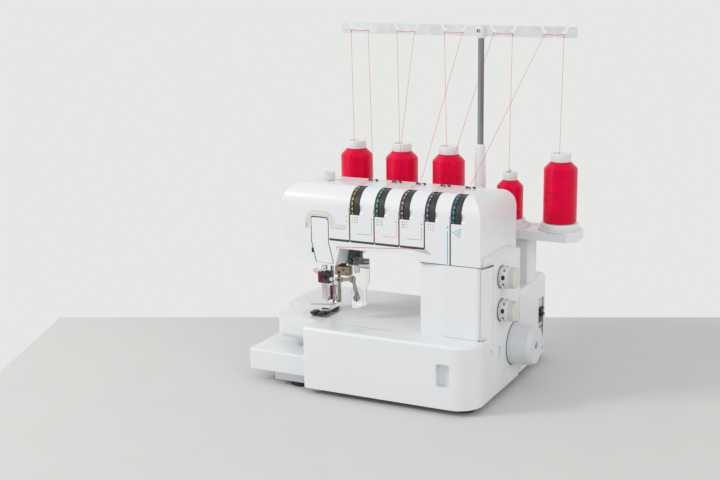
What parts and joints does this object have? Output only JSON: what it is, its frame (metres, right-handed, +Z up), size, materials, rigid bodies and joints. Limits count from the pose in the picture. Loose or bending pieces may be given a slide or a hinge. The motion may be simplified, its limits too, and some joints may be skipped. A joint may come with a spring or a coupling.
{
  "type": "cover-stitch sewing machine",
  "caption": "Free-arm cover-stitch sewing machine with tension dials on its arm, a hinged front cover, thread spools on a rear stand and a telescopic thread mast.",
  "frame": {"origin": "under the middle of the machine's bounding box, on the table", "axes": "+X to the handwheel side, +Y to the thread stand at the back, +Z up"},
  "size_m": [0.395, 0.274, 0.467],
  "materials": {
    "white_casing": "gloss",
    "white_trim": "gloss",
    "grey_base": "matte",
    "black_rubber": "matte",
    "charcoal_plastic": "satin",
    "clear_plastic": "clear",
    "polished_steel": "polished",
    "steel": "brushed",
    "dark_steel": "satin",
    "brass": "satin",
    "cast_frame": "cast",
    "crimson_thread": "matte",
    "white_core": "satin",
    "belt_rubber": "matte"
  },
  "bodies": {
    "base": {"base_pan": "grey_base", "rubber_feet": "black_rubber", "base_ledge": "white_casing", "bed_casing": "white_casing", "needle_plate": "steel", "column_cover": "white_casing", "right_side_cover": "white_casing", "column_cheek": "white_casing", "rear_block_cover": "white_casing", "switch_panel": "charcoal_plastic", "arm_front_cover": "white_casing", "take_up_cover": "white_casing", "machine_frame": "cast_frame", "shaft_bushes": "brass", "motor": "dark_steel", "motor_belt": "belt_rubber", "timing_belt": "belt_rubber", "presser_spring": "steel", "arm_rear_cover": "white_casing", "casing_screws": "steel", "tension_bracket": "steel", "top_thread_guides": "charcoal_plastic", "spreader_bracket": "steel", "spreader_block": "brass", "clear_guard": "clear_plastic", "lamp_lens": "clear_plastic", "spool_tray": "white_casing", "spool_seats": "white_trim", "spool_cores": "white_core", "thread_cones": "crimson_thread", "mast_sleeve": "white_casing", "threads": "crimson_thread"},
    "lower_drive": {"main_shaft": "steel", "handwheel": "white_casing"},
    "upper_drive": {"upper_shaft": "steel"},
    "motor_rotor": {"motor_pulley": "steel"},
    "needle_drive": {"needle_bar": "polished_steel", "needle_yoke": "steel", "needle_clamp": "dark_steel", "needles": "polished_steel"},
    "presser": {"presser_bar": "polished_steel", "foot_ankle": "polished_steel"},
    "sole": {"presser_foot": "polished_steel"},
    "lifter": {"lifter_lever": "charcoal_plastic"},
    "cover": {"front_cover": "white_casing"},
    "dial_1": {"tension_dial_1": "charcoal_plastic"},
    "dial_2": {"tension_dial_2": "charcoal_plastic"},
    "dial_3": {"tension_dial_3": "charcoal_plastic"},
    "dial_4": {"tension_dial_4": "charcoal_plastic"},
    "dial_5": {"tension_dial_5": "charcoal_plastic"},
    "length_dial": {"stitch_length_dial": "white_trim"},
    "ratio_dial": {"feed_ratio_dial": "white_trim"},
    "pressure": {"pressure_knob": "white_trim"},
    "rocker": {"power_rocker": "charcoal_plastic"},
    "mast": {"mast_tube": "polished_steel", "thread_rail": "steel", "rail_boss": "white_trim"},
    "looper_arm": {"looper": "polished_steel"},
    "feed": {"feed_dog": "steel"},
    "spreader_arm": {"spreader": "brass"}
  },
  "joints": [
    {"name": "handwheel_spin", "type": "hinge", "parent": "base", "child": "lower_drive", "pos_m": [0, 0.002, 0.059], "axis": [1, 0, 0], "continuous": true},
    {"name": "upper_shaft_spin", "type": "hinge", "parent": "base", "child": "upper_drive", "pos_m": [0, -0.028, 0.24], "axis": [1, 0, 0], "continuous": true},
    {"name": "motor_spin", "type": "hinge", "parent": "base", "child": "motor_rotor", "pos_m": [0.09, 0.085, 0.062], "axis": [1, 0, 0], "continuous": true},
    {"name": "needle_bar_slide", "type": "slide", "parent": "base", "child": "needle_drive", "axis": [0, 0, 1], "range_m": [-0.031, 0]},
    {"name": "lifter_swing", "type": "hinge", "parent": "base", "child": "lifter", "pos_m": [-0.1118, 0.014, 0.205], "axis": [1, 0, 0], "range_deg": [0, 40]},
    {"name": "presser_lift", "type": "slide", "parent": "base", "child": "presser", "axis": [0, 0, 1], "range_m": [0, 0.006], "deforming": ["presser_spring"]},
    {"name": "foot_tilt", "type": "hinge", "parent": "presser", "child": "sole", "pos_m": [-0.111, -0.045, 0.1035], "axis": [1, 0, 0], "range_deg": [-8, 0]},
    {"name": "front_cover_hinge", "type": "hinge", "parent": "base", "child": "cover", "pos_m": [0, -0.129, 0.014], "axis": [1, 0, 0], "range_deg": [0, 75]},
    {"name": "tension_dial_1_turn", "type": "hinge", "parent": "base", "child": "dial_1", "pos_m": [-0.0449, -0.0782, 0.244], "axis": [1, 0, 0], "range_deg": [-135, 135]},
    {"name": "tension_dial_2_turn", "type": "hinge", "parent": "base", "child": "dial_2", "pos_m": [-0.01, -0.0782, 0.244], "axis": [1, 0, 0], "range_deg": [-135, 135]},
    {"name": "tension_dial_3_turn", "type": "hinge", "parent": "base", "child": "dial_3", "pos_m": [0.0249, -0.0782, 0.244], "axis": [1, 0, 0], "range_deg": [-135, 135]},
    {"name": "tension_dial_4_turn", "type": "hinge", "parent": "base", "child": "dial_4", "pos_m": [0.0598, -0.0782, 0.244], "axis": [1, 0, 0], "range_deg": [-135, 135]},
    {"name": "tension_dial_5_turn", "type": "hinge", "parent": "base", "child": "dial_5", "pos_m": [0.0947, -0.0782, 0.244], "axis": [1, 0, 0], "range_deg": [-135, 135]},
    {"name": "stitch_length_turn", "type": "hinge", "parent": "base", "child": "length_dial", "pos_m": [0.145, -0.046, 0.1605], "axis": [1, 0, 0], "range_deg": [-135, 135]},
    {"name": "feed_ratio_turn", "type": "hinge", "parent": "base", "child": "ratio_dial", "pos_m": [0.145, -0.046, 0.117], "axis": [1, 0, 0], "range_deg": [-135, 135]},
    {"name": "pressure_knob_turn", "type": "hinge", "parent": "base", "child": "pressure", "pos_m": [-0.111, -0.045, 0.27], "axis": [0, 0, 1], "range_deg": [-720, 720]},
    {"name": "power_rocker_tilt", "type": "hinge", "parent": "base", "child": "rocker", "pos_m": [0.13125, 0.111, 0.068], "axis": [0, 1, 0], "range_deg": [-20, 0]},
    {"name": "mast_slide", "type": "slide", "parent": "base", "child": "mast", "axis": [0, 0, 1], "range_m": [-0.135, 0], "deforming": ["threads"]},
    {"name": "looper_swing", "type": "hinge", "parent": "base", "child": "looper_arm", "pos_m": [-0.096, -0.067, 0.068], "axis": [0, 1, 0], "range_deg": [-12, 12]},
    {"name": "feed_slide", "type": "slide", "parent": "base", "child": "feed", "axis": [0, 1, 0], "range_m": [-0.002, 0.002]},
    {"name": "spreader_swing", "type": "hinge", "parent": "base", "child": "spreader_arm", "pos_m": [-0.089, -0.065, 0.13], "axis": [0, 0, 1], "range_deg": [-15, 15]}
  ],
  "couplings": [
    {"joint": "upper_shaft_spin", "follows": "handwheel_spin", "ratio": 1},
    {"joint": "motor_spin", "follows": "handwheel_spin", "ratio": 3.25},
    {"joint": "lifter_swing", "follows": "presser_lift", "rad_per_m": 116.36}
  ]
}
